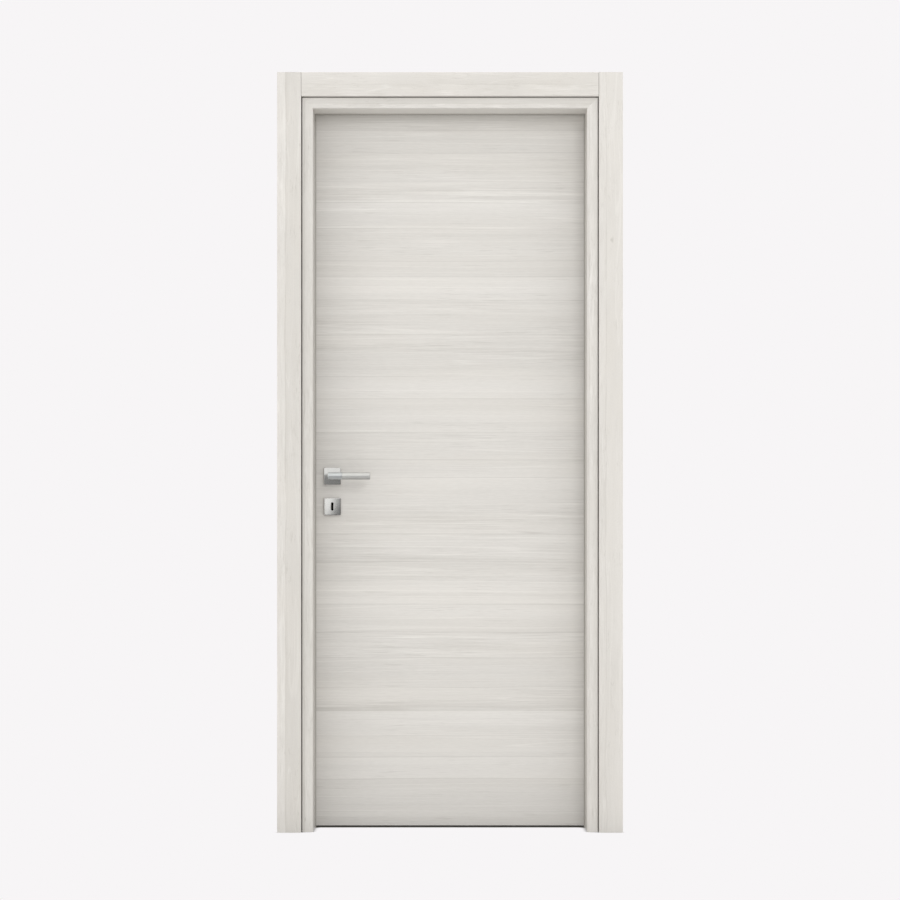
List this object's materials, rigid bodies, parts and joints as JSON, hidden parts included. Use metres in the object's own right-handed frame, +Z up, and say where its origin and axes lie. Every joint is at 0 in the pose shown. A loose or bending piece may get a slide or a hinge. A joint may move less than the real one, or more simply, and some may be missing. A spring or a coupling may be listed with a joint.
{
  "type": "flush hollow core door",
  "caption": "Flush hollow core door leaf with a rebated edge, hung in a laminate-wrapped frame with flat architraves, square roses, a round lever handle and keyhole escutcheons.",
  "frame": {"origin": "on the outer face of the hinge-side jamb, where it meets the floor, at the middle of the wall's thickness", "axes": "+X points out of the hinge jamb into the wall, to the right seen from the push side; +Y runs through the wall, away from the push side, the way the leaf opens; +Z is up"},
  "size_m": [1.008, 0.2021, 2.216],
  "materials": {
    "frame_laminate": "matt whitewashed wood-grain laminate",
    "leaf_laminate": "matt whitewashed wood-grain laminate",
    "softwood": "planed softwood",
    "core_card": "brown card",
    "seal_rubber": "matt grey",
    "satin_steel": "satin chrome",
    "polished_steel": "polished",
    "zinc_steel": "zinc plated"
  },
  "bodies": {
    "frame": {"jamb_hinge": "frame_laminate", "jamb_lock": "frame_laminate", "jamb_head": "frame_laminate", "jamb_rebate_hinge": "frame_laminate", "jamb_rebate_lock": "frame_laminate", "jamb_rebate_head": "frame_laminate", "architrave_front_hinge": "frame_laminate", "architrave_front_lock": "frame_laminate", "architrave_front_head": "frame_laminate", "architrave_back_hinge": "frame_laminate", "architrave_back_lock": "frame_laminate", "architrave_back_head": "frame_laminate", "seal_hinge": "seal_rubber", "seal_lock": "seal_rubber", "seal_head": "seal_rubber", "strike_plate": "satin_steel", "hinge_frame_half_1": "satin_steel", "hinge_frame_half_2": "satin_steel", "hinge_frame_half_3": "satin_steel"},
    "leaf": {"leaf_front_skin": "leaf_laminate", "leaf_back_skin": "leaf_laminate", "leaf_edge_band_hinge": "leaf_laminate", "leaf_edge_band_lock": "leaf_laminate", "leaf_edge_band_head": "leaf_laminate", "leaf_hinge_stile": "softwood", "leaf_lock_stile": "softwood", "leaf_top_rail": "softwood", "leaf_bottom_rail": "softwood", "leaf_lock_block": "softwood", "leaf_honeycomb_core": "core_card", "lock_case": "zinc_steel", "lock_forend": "satin_steel", "latch_bolt": "satin_steel", "dead_bolt": "satin_steel", "rose_front": "satin_steel", "rose_back": "satin_steel", "escutcheon_front": "satin_steel", "escutcheon_back": "satin_steel", "hinge_leaf_half_1": "satin_steel", "hinge_leaf_half_2": "satin_steel", "hinge_leaf_half_3": "satin_steel"},
    "handles": {"lever_elbow_front": "polished_steel", "lever_elbow_back": "polished_steel", "lever_grip_front": "satin_steel", "lever_grip_back": "satin_steel", "spindle": "zinc_steel"}
  },
  "joints": [
    {"name": "door_swing", "type": "hinge", "parent": "frame", "child": "leaf", "pos_m": [-0.014, 0.0715, 1.07], "axis": [0, 0, -1], "range_deg": [0, 170]},
    {"name": "handle_turn", "type": "hinge", "parent": "leaf", "child": "handles", "pos_m": [-0.792, 0.0545, 1.04], "axis": [0, 1, 0], "range_deg": [0, 45], "stiffness_Nm_per_rad": 1.2, "springref_deg": -20.05}
  ]
}
